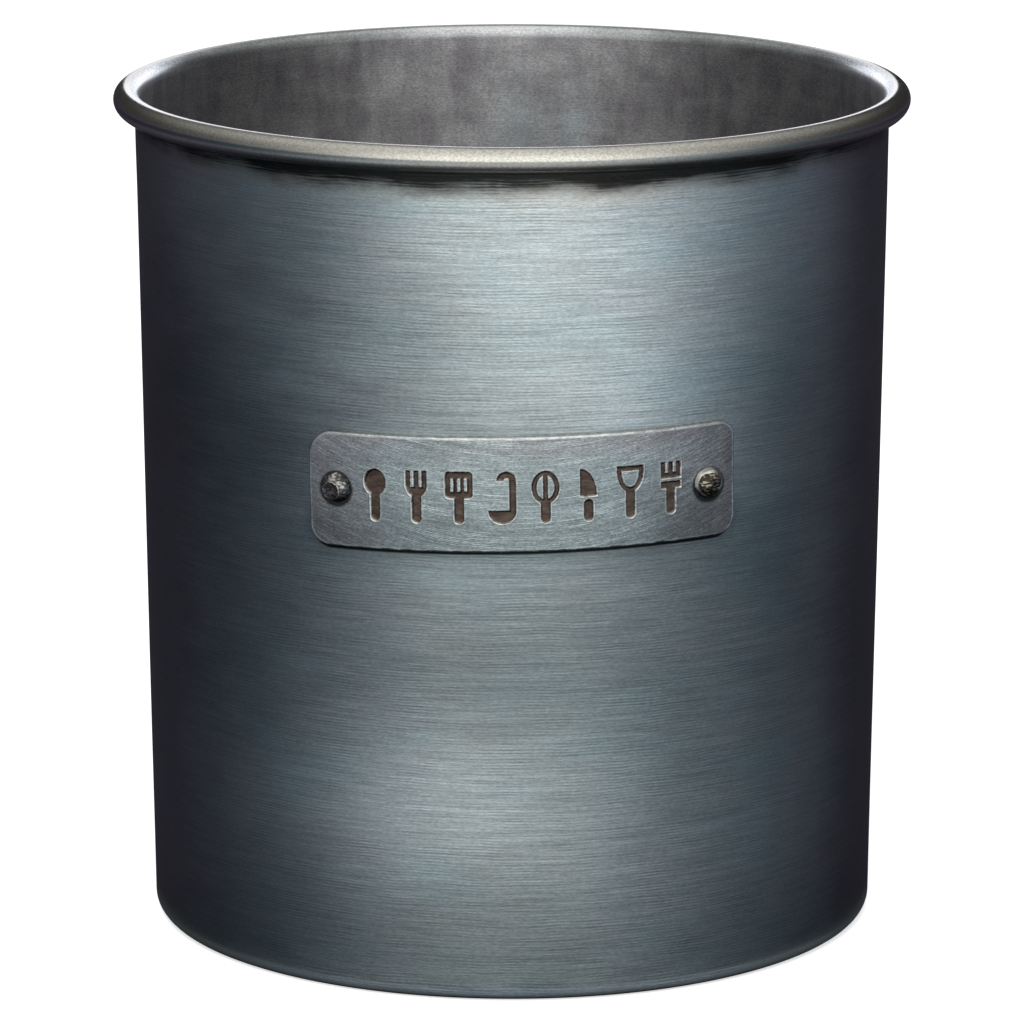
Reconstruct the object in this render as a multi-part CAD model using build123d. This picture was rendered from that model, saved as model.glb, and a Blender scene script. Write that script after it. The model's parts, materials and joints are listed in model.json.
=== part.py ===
from build123d import *

import math
import os

# Utensil holder: a can drawn from one sheet of iron, its rim rolled outwards over a wire, with a stamped
# plate riveted to the front. Millimetres, +Z up. The origin is the centre of the foot, on the surface that
# the can stands on. The front, with the plate, faces -Y.

# Can
overall_height = 149.0
rim_diameter = 140.0
base_diameter = 128.4
sheet_thickness = 0.9
base_corner_radius = 3.0
foot_ring_width = 5.7
panel_rise = 1.2
panel_bend_radius = 1.6

# Rolled rim and its wire
wire_diameter = 2.7
roll_gap = 0.05
roll_end_gap = 0.25

# Front plate
plate_length = 75.0
plate_height = 19.8
plate_thickness = 1.0
upper_left_radius = 4.6
upper_right_radius = 2.8
lower_left_radius = 3.6
lower_right_radius = 3.3
plate_drop = 59.2
plate_tilt = 1.0
plate_seat_gap = 0.04

# Row of kitchen tools stamped into the plate
sign_depth = 0.45
sign_height = 9.0
sign_pitch = 7.2
sign_drop = 0.5
stem_width = 1.6
sign_line = 0.8
sign_slot = 0.55

# Heads of the stamped tools
spoon_width = 3.8
spoon_length = 4.6
fork_width = 3.6
fork_length = 4.6
tine_length = 2.8
turner_width = 4.6
turner_length = 4.6
turner_corner_radius = 0.7
turner_slot_length = 2.3
turner_slot_spacing = 1.15
ladle_width = 4.6
ladle_line = 1.1
hook_width = 3.2
whisk_width = 4.6
whisk_length = 5.7
knife_width = 2.8
knife_length = 4.7
masher_width = 4.6
masher_length = 4.5
masher_bar_height = 0.85
brush_width = 3.6
bristle_length = 2.8
bristle_cut_length = 1.8
ferrule_height = 1.2

# Rivets
rivet_end_distance = 5.2
rivet_left_rise = 0.4
rivet_right_rise = -0.4
shank_diameter = 3.0
hole_clearance = 0.05
head_seat_gap = 0.02
outer_head_diameter = 5.6
outer_head_height = 2.1
inner_head_diameter = 6.0
inner_head_height = 1.1
inner_head_edge = 0.25

# Flats hammered on the rivets' outer heads: degrees from the rivet's axis, degrees round it, and depth
left_flats = [(10, 250, 0.5), (44, 20, 0.2), (46, 80, 0.24), (48, 140, 0.2)]
right_flats = [(12, 330, 0.3), (44, 40, 0.16), (46, 230, 0.2), (44, 290, 0.16)]

# Values that follow from the sizes above
roll_inner_radius = wire_diameter / 2 + roll_gap
roll_outer_radius = roll_inner_radius + sheet_thickness
roll_centre = Vector(rim_diameter / 2 - roll_outer_radius, overall_height - roll_outer_radius)
corner_centre = Vector(base_diameter / 2 - base_corner_radius, base_corner_radius)
plate_centre_height = overall_height - plate_drop
plate_face = plate_seat_gap + plate_thickness
dome_radius = ((outer_head_diameter / 2) ** 2 + outer_head_height**2) / (2 * outer_head_height)
dome_centre = plate_face + head_seat_gap + outer_head_height - dome_radius
sign_top = sign_height / 2
sign_foot = -sign_height / 2


def wall_lean():
    """Degrees that the wall leans out from upright, where its outer face meets the corner and the roll."""
    span = roll_centre - corner_centre
    towards_roll = math.atan2(span.X, span.Y)
    return math.degrees(towards_roll - math.asin((base_corner_radius + roll_inner_radius) / span.length))


lean = wall_lean()


def wall_radius(height):
    """Radius of the wall's outer face at a height."""
    lean_angle = math.radians(lean)
    normal = Vector(math.cos(lean_angle), -math.sin(lean_angle))
    foot = corner_centre + normal * base_corner_radius
    return foot.X + (height - foot.Y) * math.tan(lean_angle)


def wall_frame(arc_position, height):
    """Plane on the wall's outer face: X along the wall, Y up it and Z straight out of it.

    arc_position is measured round the wall from the front, and is positive to the right as one faces it.
    """
    turn = arc_position / wall_radius(plate_centre_height)
    lean_angle = math.radians(lean)
    across = Vector(math.cos(turn), math.sin(turn), 0)
    outward = Vector(math.sin(turn), -math.cos(turn), 0)
    normal = outward * math.cos(lean_angle) - Vector(0, 0, math.sin(lean_angle))
    place = outward * wall_radius(height) + Vector(0, 0, height)
    return Plane(origin=place, x_dir=across, z_dir=normal)


def plate_frame(arc_position, rise=0.0):
    """Plane on the wall at a point of the tilted plate, whose rise is from the plate's long middle line."""
    tilt = math.radians(plate_tilt)
    height = plate_centre_height + arc_position * math.sin(tilt) + rise * math.cos(tilt)
    frame = wall_frame(arc_position * math.cos(tilt) - rise * math.sin(tilt), height)
    along = frame.x_dir * math.cos(tilt) + frame.y_dir * math.sin(tilt)
    return Plane(origin=frame.origin, x_dir=along, z_dir=frame.z_dir)


def folded_section(start, steps, thickness):
    """Section of a folded sheet, walked along its middle from start, heading outwards.

    Each step is (length,) for a straight run or (radius, angle) for a bend about the middle of the sheet.
    A positive angle turns left. Each step lays one edge on each side of the sheet.
    """
    sides = {1: [], -1: []}
    place = start
    heading = 0.0
    for step in steps:
        along = Vector(1, 0).rotate(Axis.Z, heading)
        left = Vector(0, 1).rotate(Axis.Z, heading)
        if len(step) == 1:
            end = place + along * step[0]
            for side, edges in sides.items():
                shift = left * (side * thickness / 2)
                edges.append(Line(place + shift, end + shift))
        else:
            radius, angle = step
            turn = math.copysign(1, angle)
            centre = place + left * (turn * radius)
            for side, edges in sides.items():
                side_radius = radius - side * turn * thickness / 2
                edges.append(CenterArc(centre, side_radius, heading - 90 * turn, angle))
            end = centre - (left * (turn * radius)).rotate(Axis.Z, angle)
            heading += angle
        place = end
    first_cap = Line(sides[-1][0] @ 0, sides[1][0] @ 0)
    last_cap = Line(sides[-1][-1] @ 1, sides[1][-1] @ 1)
    return make_face([first_cap, last_cap, *sides[1], *sides[-1]])


def can_section():
    """Half section of the can, from the middle of its base to the end of its rolled rim."""
    middle = sheet_thickness / 2
    bend_angle = math.degrees(math.acos(1 - panel_rise / (2 * panel_bend_radius)))
    bend_reach = 2 * panel_bend_radius * math.sin(math.radians(bend_angle))
    panel_reach = corner_centre.X - foot_ring_width - bend_reach
    roll_reach = math.degrees(math.acos((roll_end_gap - roll_inner_radius) / roll_outer_radius))
    span = roll_centre - corner_centre
    wall_run = math.sqrt(span.length**2 - (base_corner_radius + roll_inner_radius) ** 2)
    steps = [
        (panel_reach,),
        (panel_bend_radius, -bend_angle),
        (panel_bend_radius, bend_angle),
        (foot_ring_width,),
        (base_corner_radius - middle, 90 - lean),
        (wall_run,),
        (roll_outer_radius - middle, -180 - roll_reach),
    ]
    return folded_section(Vector(0, panel_rise + middle), steps, sheet_thickness)


def rivet_frames():
    """Planes on the wall at the two rivets, which sit a little above and below the plate's middle line."""
    reach = plate_length / 2 - rivet_end_distance
    return {
        "rivet_left": plate_frame(-reach, rivet_left_rise),
        "rivet_right": plate_frame(reach, rivet_right_rise),
    }


def rivet_holes():
    """Round bars that cut the rivets' holes through the plate and the wall."""
    length = 4 * (sheet_thickness + plate_thickness)
    bar = Cylinder(shank_diameter / 2 + hole_clearance, length)
    return [frame * bar for frame in rivet_frames().values()]


def make_can():
    """Base, wall and rolled rim, all of one sheet, with the rivet holes through its front."""
    return revolve(Plane.XZ * can_section(), Axis.Z) - rivet_holes()


def make_rim_wire():
    """Wire ring that the rim is rolled over."""
    return Pos(0, 0, roll_centre.Y) * Torus(roll_centre.X, wire_diameter / 2)


def blank_plate():
    """The plate before stamping: a piece of a cone that follows the wall, with rounded corners."""
    lean_angle = math.radians(lean)
    inner = wall_radius(0) + plate_seat_gap / math.cos(lean_angle)
    outer = wall_radius(0) + plate_face / math.cos(lean_angle)
    drift = wall_radius(overall_height) - wall_radius(0)
    sleeve_section = Polygon(
        (inner, 0),
        (outer, 0),
        (outer + drift, overall_height),
        (inner + drift, overall_height),
        align=None,
    )
    sleeve = revolve(Plane.XZ * sleeve_section, Axis.Z)
    half_turn = math.degrees(plate_length / 2 / wall_radius(plate_centre_height))
    reach = max(outer, outer + drift) + plate_thickness
    slab = Pos(reach / 2, 0) * Rectangle(reach, plate_height)
    window = revolve(Plane.XZ * slab, Axis.Z, 2 * half_turn)
    window = window.rotate(Axis.Z, -90 - half_turn)
    window = window.rotate(Axis.Y, -plate_tilt)
    plate = sleeve & (Pos(0, 0, plate_centre_height) * window)
    corners = [
        (-1, 1, upper_left_radius),
        (1, 1, upper_right_radius),
        (-1, -1, lower_left_radius),
        (1, -1, lower_right_radius),
    ]
    for across, up, radius in corners:
        short_edges = [edge for edge in plate.edges() if edge.length < 2 * plate_thickness]
        corner = max(short_edges, key=lambda edge: across * edge.center().X + up * edge.center().Z)
        plate = fillet([corner], radius)
    return plate


def stem(top):
    """Handle of a stamped tool, from a height down to the foot of the sign, with round ends."""
    length = top - sign_foot
    return Pos(0, top - length / 2) * Rot(Z=90) * SlotOverall(length, stem_width)


def half_plane(side):
    """Rectangle that covers all of a sign above its middle, or all below it for a side of -1."""
    return Pos(0, side * sign_height) * Rectangle(4 * sign_height, 2 * sign_height)


def slots(count, spacing, top, length):
    """Upright slots in a row, which stay at the plate's full height between the stamped lines."""
    row = [Pos((index - (count - 1) / 2) * spacing, top - length / 2) for index in range(count)]
    return [place * Rectangle(sign_slot, length) for place in row]


def spoon_sign():
    """Egg-shaped bowl over a stem."""
    middle = sign_top - spoon_length / 2
    return Pos(0, middle) * Ellipse(spoon_width / 2, spoon_length / 2) + stem(middle)


def fork_sign():
    """Three tines on a round shoulder over a stem."""
    middle = sign_top - fork_length / 2
    shoulder = Pos(0, middle) * Ellipse(fork_width / 2, fork_length / 2)
    prongs = Pos(0, (middle + sign_top) / 2) * Rectangle(fork_width, sign_top - middle)
    gaps = slots(2, (fork_width + sign_slot) / 3, sign_top, tine_length)
    return shoulder + prongs - gaps + stem(sign_top - tine_length - sign_slot)


def turner_sign():
    """Slotted turner: a rounded blade with three slots over a stem."""
    middle = sign_top - turner_length / 2
    blade = Pos(0, middle) * RectangleRounded(turner_width, turner_length, turner_corner_radius)
    blade -= slots(3, turner_slot_spacing, middle + turner_slot_length / 2, turner_slot_length)
    return blade + stem(middle - turner_slot_length / 2)


def ladle_sign():
    """Half-round bowl at the foot, with its handle up one side to a hook at the top."""
    bowl_radius = ladle_width / 2
    hook_radius = hook_width / 2
    bowl = Pos(0, sign_foot + bowl_radius) * (Circle(bowl_radius) & half_plane(-1))
    handle_foot = sign_foot + bowl_radius
    handle_top = sign_top - hook_radius
    handle_middle = Pos(bowl_radius - ladle_line / 2, (handle_foot + handle_top) / 2)
    handle = handle_middle * Rectangle(ladle_line, handle_top - handle_foot)
    hook = (Circle(hook_radius) - Circle(hook_radius - ladle_line)) & half_plane(1)
    return bowl + handle + Pos(bowl_radius - hook_radius, handle_top) * hook


def whisk_sign():
    """Balloon of wires, with one wire up its middle, over a stem."""
    balloon = Ellipse(whisk_width / 2, whisk_length / 2)
    inside = Ellipse(whisk_width / 2 - sign_line, whisk_length / 2 - sign_line)
    middle_wire = Rectangle(sign_line, whisk_length - sign_line)
    middle = sign_top - whisk_length / 2
    return Pos(0, middle) * (balloon - inside + middle_wire) + stem(sign_top - whisk_length + sign_line)


def knife_sign():
    """Blade with a straight back and a curved edge, over a stem that stands clear of it."""
    quarter = Pos(2 * sign_height, 0) * Rectangle(4 * sign_height, 4 * sign_height)
    blade = Ellipse(knife_width, knife_length) & half_plane(1) & quarter
    blade_foot = sign_top - knife_length
    return Pos(-knife_width / 2, blade_foot) * blade + stem(blade_foot - sign_slot)


def masher_sign():
    """Flat foot at the top, on two curved legs that join the stem."""
    leg_reach = masher_width / 2
    leg_length = masher_length - masher_bar_height
    bar_foot = sign_top - masher_bar_height
    legs = Ellipse(leg_reach, leg_length) - Ellipse(leg_reach - sign_line, leg_length - sign_line)
    bar = Pos(0, bar_foot + masher_bar_height / 2) * Rectangle(masher_width, masher_bar_height)
    return bar + Pos(0, bar_foot) * (legs & half_plane(-1)) + stem(sign_top - masher_length + sign_line)


def brush_sign():
    """Pastry brush: cut bristles over a ferrule and a stem."""
    bristles = Pos(0, sign_top - bristle_length / 2) * Rectangle(brush_width, bristle_length)
    bristles -= slots(2, (brush_width + sign_slot) / 3, sign_top, bristle_cut_length)
    ferrule_middle = sign_top - bristle_length - sign_slot - ferrule_height / 2
    ferrule = Pos(0, ferrule_middle) * Rectangle(brush_width, ferrule_height)
    return bristles + ferrule + stem(ferrule_middle)


def make_front_plate():
    """Plate bent to the wall, with the row of kitchen tools stamped into its face."""
    signs = [
        spoon_sign(),
        fork_sign(),
        turner_sign(),
        ladle_sign(),
        whisk_sign(),
        knife_sign(),
        masher_sign(),
        brush_sign(),
    ]
    plate = blank_plate() - rivet_holes()
    for index, sign in enumerate(signs):
        arc_position = (index - (len(signs) - 1) / 2) * sign_pitch
        face = plate_frame(arc_position, -sign_drop).offset(plate_face)
        plate -= extrude(face * sign, sign_depth, both=True)
    return plate


def rivet_body():
    """Rivet on its own axis, whose origin is on the wall's outer face: a shank and two heads."""
    wall_inside = wall_radius(plate_centre_height) - sheet_thickness
    inner_radius = inner_head_diameter / 2
    hollow = wall_inside - math.sqrt(wall_inside**2 - inner_radius**2)
    inner_seat = -sheet_thickness - head_seat_gap - hollow
    outer_seat = plate_face + head_seat_gap
    dome = Pos(0, 0, dome_centre) * Sphere(dome_radius)
    dome &= Pos(0, 0, outer_seat + dome_radius) * Cylinder(2 * dome_radius, 2 * dome_radius)
    shank_length = outer_seat - inner_seat
    shank = Pos(0, 0, inner_seat + shank_length / 2) * Cylinder(shank_diameter / 2, shank_length)
    head = Cylinder(inner_radius, inner_head_height)
    head = fillet(head.edges().group_by(Axis.Z)[0], inner_head_edge)
    return dome + shank + Pos(0, 0, inner_seat - inner_head_height / 2) * head


def flat_cutters(flats):
    """Blocks that cut the hammered flats into a rivet's outer head."""
    size = 4 * dome_radius
    cutters = []
    for from_axis, turn, depth in flats:
        block = Pos(0, 0, dome_radius - depth + size / 2) * Box(size, size, size)
        cutters.append(Pos(0, 0, dome_centre) * Rot(Z=turn) * Rot(Y=from_axis) * block)
    return cutters


def make_rivet(name, flats):
    """One rivet in its place, headed over by hand outside and factory made inside."""
    return rivet_frames()[name] * (rivet_body() - flat_cutters(flats))


def main():
    """Builds every piece and writes each one to its own file."""
    pieces = {
        "can": make_can(),
        "rim_wire": make_rim_wire(),
        "front_plate": make_front_plate(),
        "rivet_left": make_rivet("rivet_left", left_flats),
        "rivet_right": make_rivet("rivet_right", right_flats),
    }
    os.makedirs("parts", exist_ok=True)
    for name, piece in pieces.items():
        export_step(piece, f"parts/{name}.step")
        print(name, "solids", len(piece.solids()), "volume", round(piece.volume, 1))


main()
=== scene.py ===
import json
import math

import bpy
import numpy as np
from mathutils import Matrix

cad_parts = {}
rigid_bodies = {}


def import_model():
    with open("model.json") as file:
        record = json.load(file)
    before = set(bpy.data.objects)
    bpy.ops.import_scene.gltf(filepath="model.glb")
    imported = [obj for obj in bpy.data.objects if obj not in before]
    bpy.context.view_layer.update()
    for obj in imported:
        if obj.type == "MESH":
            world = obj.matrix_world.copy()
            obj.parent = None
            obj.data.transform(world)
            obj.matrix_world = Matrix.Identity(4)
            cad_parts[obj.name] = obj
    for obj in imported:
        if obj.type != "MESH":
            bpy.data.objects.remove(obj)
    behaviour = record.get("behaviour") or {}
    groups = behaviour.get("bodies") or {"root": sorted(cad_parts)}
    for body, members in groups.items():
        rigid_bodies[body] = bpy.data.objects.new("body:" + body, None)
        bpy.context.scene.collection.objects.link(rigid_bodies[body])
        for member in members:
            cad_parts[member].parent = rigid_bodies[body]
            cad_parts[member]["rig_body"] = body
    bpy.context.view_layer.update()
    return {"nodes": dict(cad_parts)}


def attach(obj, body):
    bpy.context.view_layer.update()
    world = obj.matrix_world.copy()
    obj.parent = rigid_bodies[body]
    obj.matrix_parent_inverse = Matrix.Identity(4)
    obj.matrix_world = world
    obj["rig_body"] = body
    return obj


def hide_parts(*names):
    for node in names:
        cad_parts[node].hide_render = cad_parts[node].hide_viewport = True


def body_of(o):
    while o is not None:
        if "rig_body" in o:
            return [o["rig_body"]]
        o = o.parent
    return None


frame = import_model()

# Sizes in millimetres, the same as the solids have
OVERALL_HEIGHT = 149.0
RIM_DIAMETER = 140.0
BASE_DIAMETER = 128.4
SHEET = 0.9
CORNER_RADIUS = 3.0
FOOT_RING_WIDTH = 5.7
PANEL_RISE = 1.2
PANEL_BEND = 1.6
ROLL_INNER = 1.4
ROLL_END_GAP = 0.25
PLATE_LENGTH = 75.0
PLATE_HEIGHT = 19.8
PLATE_THICKNESS = 1.0
UPPER_LEFT = 4.6
UPPER_RIGHT = 2.8
LOWER_LEFT = 3.6
LOWER_RIGHT = 3.3
PLATE_CENTRE = 89.8
PLATE_TILT = math.radians(1.0)
PLATE_SEAT_GAP = 0.04
SIGN_DEPTH = 0.45
SIGN_PITCH = 7.2
SIGN_DROP = 0.5
SIGN_TOP = 4.5
SIGN_FOOT = -4.5
SIGN_HALF = 2.3
NARROW_HEAD = 3.6
STEM_WIDTH = 1.6
SIGN_LINE = 0.8
SIGN_SLOT = 0.55
RIVET_REACH = 32.3
RIVET_RISE = 0.4
SHANK_RADIUS = 1.5
HEAD_RADIUS = 2.8
HEAD_HEIGHT = 2.1
INNER_HEAD_RADIUS = 3.0
INNER_HEAD_HEIGHT = 1.1
INNER_HEAD_EDGE = 0.25
INNER_HEAD_FLAT = 1.2
RIVET_SEAT_GAP = 0.02

# What only the looks need, in millimetres
WAVER_FADE = 12.0
RIM_CLEAR = 8.0
FAR_FROM_ROLL = -20.0
PLAIN_STEP = 0.4
STAMP_STEP = 0.105
PLATE_ALLOWANCE = 0.03
EDGE_ROUND = 0.34
STAMP_RAGGED = 0.035
SLOPE_START = 0.03
SLOPE_WIDTH = 0.2
LIP_OUT = 0.16
LIP_WIDTH = 0.12
LIP_HEIGHT = 0.03
SHADE_SOFT = 0.16
FAR_FROM_SIGNS = 5.0
FAR_FROM_MARK = 3.0
FLAT_BLEND = 0.16
HEAD_EDGE = 0.25

# Camera and studio, in metres, degrees and shares of full light
CAMERA_DISTANCE = 1.1116
CAMERA_HEIGHT = 0.3283
CAMERA_TURN = -1.72
CAMERA_PITCH = 13.009
CAMERA_LENS = 224.8
CAMERA_SENSOR = 36.0
TENT_RADIUS = 3.0
TABLE_REACH = 4.0
TABLE_WHITE = 0.62
WORLD_LIGHT = 0.55
CARD_REACH = 0.085
CARD_PLACE = 0.19
GLOW_INNER = 0.0628
GLOW_OUTER = 0.070
GLOW_LIFT = 0.0002

# A millimetre in metres, points round the can, and a brushed highlight's turn as a share of a whole one
MM = 0.001
CAN_COLUMNS = 384
QUARTER_TURN = 0.25

ROLL_OUTER = ROLL_INNER + SHEET
ROLL_CENTRE = np.array([RIM_DIAMETER / 2 - ROLL_OUTER, OVERALL_HEIGHT - ROLL_OUTER])
CORNER_CENTRE = np.array([BASE_DIAMETER / 2 - CORNER_RADIUS, CORNER_RADIUS])
SPAN = ROLL_CENTRE - CORNER_CENTRE
SPAN_LENGTH = math.hypot(*SPAN)
LEAN = math.atan2(*SPAN) - math.asin((CORNER_RADIUS + ROLL_INNER) / SPAN_LENGTH)


# Meshes

def make_piece(name, points, faces, attributes=None, sharp=None):
    """Puts millimetre points and faces into a smooth mesh in metres, with attributes of its points.

    sharp is the angle in degrees over which two faces meet in a sharp edge.
    """
    mesh = bpy.data.meshes.new(name)
    mesh.from_pydata((points * MM).tolist(), [], faces)
    mesh.update()
    for key, values in (attributes or {}).items():
        kind, field = ("FLOAT", "value") if values.ndim == 1 else ("FLOAT_VECTOR", "vector")
        layer = mesh.attributes.new(key, kind, "POINT")
        layer.data.foreach_set(field, values.astype(np.float32).ravel())
    mesh.polygons.foreach_set("use_smooth", np.ones(len(mesh.polygons), bool))
    if sharp:
        mesh.set_sharp_from_angle(angle=math.radians(sharp))
    piece = bpy.data.objects.new(name, mesh)
    bpy.context.scene.collection.objects.link(piece)
    return piece


def grid_faces(number):
    """Quads between neighbouring points of an open grid, from the grid of their numbers."""
    corners = [number[:-1, :-1], number[:-1, 1:], number[1:, 1:], number[1:, :-1]]
    return np.stack(corners, -1).reshape(-1, 4)


def ring_faces(rows, columns):
    """Quads between neighbouring rings of points, each ring closed on itself, numbered row by row."""
    row, column = np.meshgrid(np.arange(rows - 1), np.arange(columns), indexing="ij")
    here = row * columns + column
    beside = row * columns + (column + 1) % columns
    return np.stack([here, beside, beside + columns, here + columns], -1).reshape(-1, 4)


def pole_faces(pole, first, columns, forward):
    """Triangles from a pole to the closed ring of points that starts at first."""
    column = np.arange(columns)
    here = first + column
    beside = first + (column + 1) % columns
    pair = (here, beside) if forward else (beside, here)
    return np.stack([np.full(columns, pole), *pair], -1)


def revolve(name, radius, height, columns, shift=None, extra=None, sharp=None):
    """Surface of revolution of a section that starts and ends on the axis.

    A point is (radius times sine of the turn, minus radius times cosine of the turn, height). shift takes
    the turn and height grids and gives what is added to radius. extra holds one value per section point.
    """
    turn = np.arange(columns) * 2 * math.pi / columns
    turns = np.broadcast_to(turn, (len(radius) - 2, columns))
    heights = np.broadcast_to(height[1:-1, None], turns.shape)
    radii = np.broadcast_to(radius[1:-1, None], turns.shape)
    if shift is not None:
        radii = radii + shift(turns, heights)
    grid = np.stack([radii * np.sin(turns), -radii * np.cos(turns), heights], -1).reshape(-1, 3)
    poles = np.array([[0, 0, height[0]], [0, 0, height[-1]]])
    rows = len(radius) - 2
    count = rows * columns
    quads = ring_faces(rows, columns)
    start = pole_faces(count, 0, columns, False)
    end = pole_faces(count + 1, count - columns, columns, True)
    faces = quads.tolist() + start.tolist() + end.tolist()
    attributes = {}
    for key, values in (extra or {}).items():
        attributes[key] = np.concatenate([np.repeat(values[1:-1], columns), values[[0, -1]]])
    return make_piece(name, np.concatenate([grid, poles]), faces, attributes, sharp)


# Can

def fold_path(start, steps):
    """Middle line of a folded sheet: points, headings and distances along it.

    Each step is (length, count) for a straight run or (radius, angle, count) for a bend, whose points turn
    evenly about a centre that lies square to the heading.
    """
    place = np.array(start, float)
    heading = 0.0
    points = [place[None]]
    headings = [np.array([heading])]
    for step in steps:
        share = np.linspace(0, 1, step[-1] + 1)[1:]
        if len(step) == 2:
            along = np.array([math.cos(heading), math.sin(heading)])
            run = place + share[:, None] * step[0] * along
            turned = np.full(len(share), heading)
        else:
            radius, angle = step[0], math.radians(step[1])
            side = math.copysign(1, angle)
            centre = place + side * radius * np.array([-math.sin(heading), math.cos(heading)])
            turned = heading + share * angle
            run = centre + side * radius * np.stack([np.sin(turned), -np.cos(turned)], -1)
        points.append(run)
        headings.append(turned)
        place = run[-1]
        heading = turned[-1]
    points = np.concatenate(points)
    distance = np.concatenate([[0], np.cumsum(np.hypot(*np.diff(points, axis=0).T))])
    return points, np.concatenate(headings), distance


def smooth_step(share):
    """A share from 0 to 1 with soft ends: its square times (three less twice the share)."""
    return share * share * (3 - 2 * share)


def wall_waver(turn, height):
    """Hand-made unevenness of the wall in millimetres: a sum of slow cosines round and up the can.

    Each wave is size times the cosine of (count times turn, plus rate times height, plus phase). The sum
    fades to nothing towards the base and the rim.
    """
    waves = [
        (3, 0.010, 0.4, 0.030),
        (5, -0.022, 2.1, 0.022),
        (8, 0.035, 4.4, 0.016),
        (11, -0.050, 1.2, 0.010),
        (14, 0.075, 5.3, 0.007),
        (19, 0.040, 3.1, 0.005),
    ]
    total = sum(size * np.cos(count * turn + rate * height + phase) for count, rate, phase, size in waves)
    from_base = np.clip((height - CORNER_RADIUS) / WAVER_FADE, 0, 1)
    from_rim = np.clip((OVERALL_HEIGHT - RIM_CLEAR - height) / WAVER_FADE, 0, 1)
    return total * smooth_step(from_base * from_rim)


def make_can():
    """The can: its folded section, half the sheet to each side of the middle line, turned round Z."""
    middle = SHEET / 2
    bend = math.degrees(math.acos(1 - PANEL_RISE / (2 * PANEL_BEND)))
    bend_reach = 2 * PANEL_BEND * math.sin(math.radians(bend))
    roll_reach = math.degrees(math.acos((ROLL_END_GAP - ROLL_INNER) / ROLL_OUTER))
    wall_run = math.sqrt(SPAN_LENGTH**2 - (CORNER_RADIUS + ROLL_INNER) ** 2)
    steps = [
        (CORNER_CENTRE[0] - FOOT_RING_WIDTH - bend_reach, 14),
        (PANEL_BEND, -bend, 5),
        (PANEL_BEND, bend, 5),
        (FOOT_RING_WIDTH, 3),
        (CORNER_RADIUS - middle, 90 - math.degrees(LEAN), 9),
        (wall_run, 58),
        (ROLL_OUTER - middle, -180 - roll_reach, 30),
    ]
    points, headings, distance = fold_path((0, PANEL_RISE + middle), steps)
    normal = np.stack([-np.sin(headings), np.cos(headings)], -1) * middle
    under = points - normal
    over = points + normal
    section = np.concatenate([under, over[::-1]])
    along = np.concatenate([distance, distance[::-1]]) * MM
    over_side = np.concatenate([np.zeros(len(under)), np.ones(len(over))])
    roll_length = (ROLL_OUTER - middle) * math.radians(180 + roll_reach)
    roll_place = np.where(over_side > 0, along / MM - distance[-1] + roll_length, FAR_FROM_ROLL)
    section[[0, -1], 0] = 0
    extra = {"along": along, "inner_side": over_side, "roll_place": roll_place}
    can = revolve("can_sheet", section[:, 0], section[:, 1], CAN_COLUMNS, wall_waver, extra, sharp=50)
    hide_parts("can")
    return can


# Front plate

def wall_radius(height):
    """Radius of the wall's outer face: the foot's, plus the rise times the tangent of the lean."""
    foot = CORNER_CENTRE + CORNER_RADIUS * np.array([math.cos(LEAN), -math.sin(LEAN)])
    return foot[0] + (height - foot[1]) * math.tan(LEAN)


def on_wall(along, up, out):
    """Points at a distance along and up the tilted plate's middle line, and straight out from the wall."""
    arc = along * math.cos(PLATE_TILT) - up * math.sin(PLATE_TILT)
    height = PLATE_CENTRE + along * math.sin(PLATE_TILT) + up * math.cos(PLATE_TILT)
    turn = arc / wall_radius(PLATE_CENTRE)
    radius = wall_radius(height) + wall_waver(turn, height) + out * math.cos(LEAN)
    return np.stack([radius * np.sin(turn), -radius * np.cos(turn), height - out * math.sin(LEAN)], -1)


def circle(x, y, radius, cx=0.0, cy=0.0):
    """Distance outside a circle."""
    return np.hypot(x - cx, y - cy) - radius


def ellipse(x, y, half_width, half_height, cy):
    """Distance outside an ellipse, nearly: scaled radius less one, over the size of its own slope."""
    y = y - cy
    scaled = np.hypot(x / half_width, y / half_height)
    slope = np.hypot(x / half_width**2, y / half_height**2)
    return scaled * (scaled - 1) / np.maximum(slope, 1e-6)


def block(x, y, width, height, cx=0.0, cy=0.0, corner=0.0):
    """Distance outside a rectangle with round corners."""
    across = np.abs(x - cx) - width / 2 + corner
    up = np.abs(y - cy) - height / 2 + corner
    outside = np.hypot(np.maximum(across, 0), np.maximum(up, 0))
    return outside + np.minimum(np.maximum(across, up), 0) - corner


def stem(x, y, top):
    """Distance outside a stem with round ends, from a height down to the foot of the sign."""
    return block(x, y, STEM_WIDTH, top - SIGN_FOOT, 0, (top + SIGN_FOOT) / 2, STEM_WIDTH / 2)


def join(*shapes):
    """Distance outside all the shapes: the least of theirs."""
    return np.minimum.reduce(shapes)


def cut(shape, *holes):
    """Distance outside a shape with holes: the most of its distance and theirs turned round."""
    return np.maximum.reduce([shape, *[-hole for hole in holes]])


def slots(x, y, count, spacing, top, length):
    """Distances outside each of a row of upright slots."""
    places = [(index - (count - 1) / 2) * spacing for index in range(count)]
    return [block(x, y, SIGN_SLOT, length, place, top - length / 2) for place in places]


def spoon(x, y):
    """Egg-shaped bowl over a stem."""
    half_width = 1.9
    middle = SIGN_TOP - SIGN_HALF
    return join(ellipse(x, y, half_width, SIGN_HALF, middle), stem(x, y, middle))


def tine_slots(x, y, depth):
    """Two slots that part a narrow head into three, cut to a depth below its top."""
    above = 1.0
    return slots(x, y, 2, (NARROW_HEAD + SIGN_SLOT) / 3, SIGN_TOP + above, depth + above)


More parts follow.
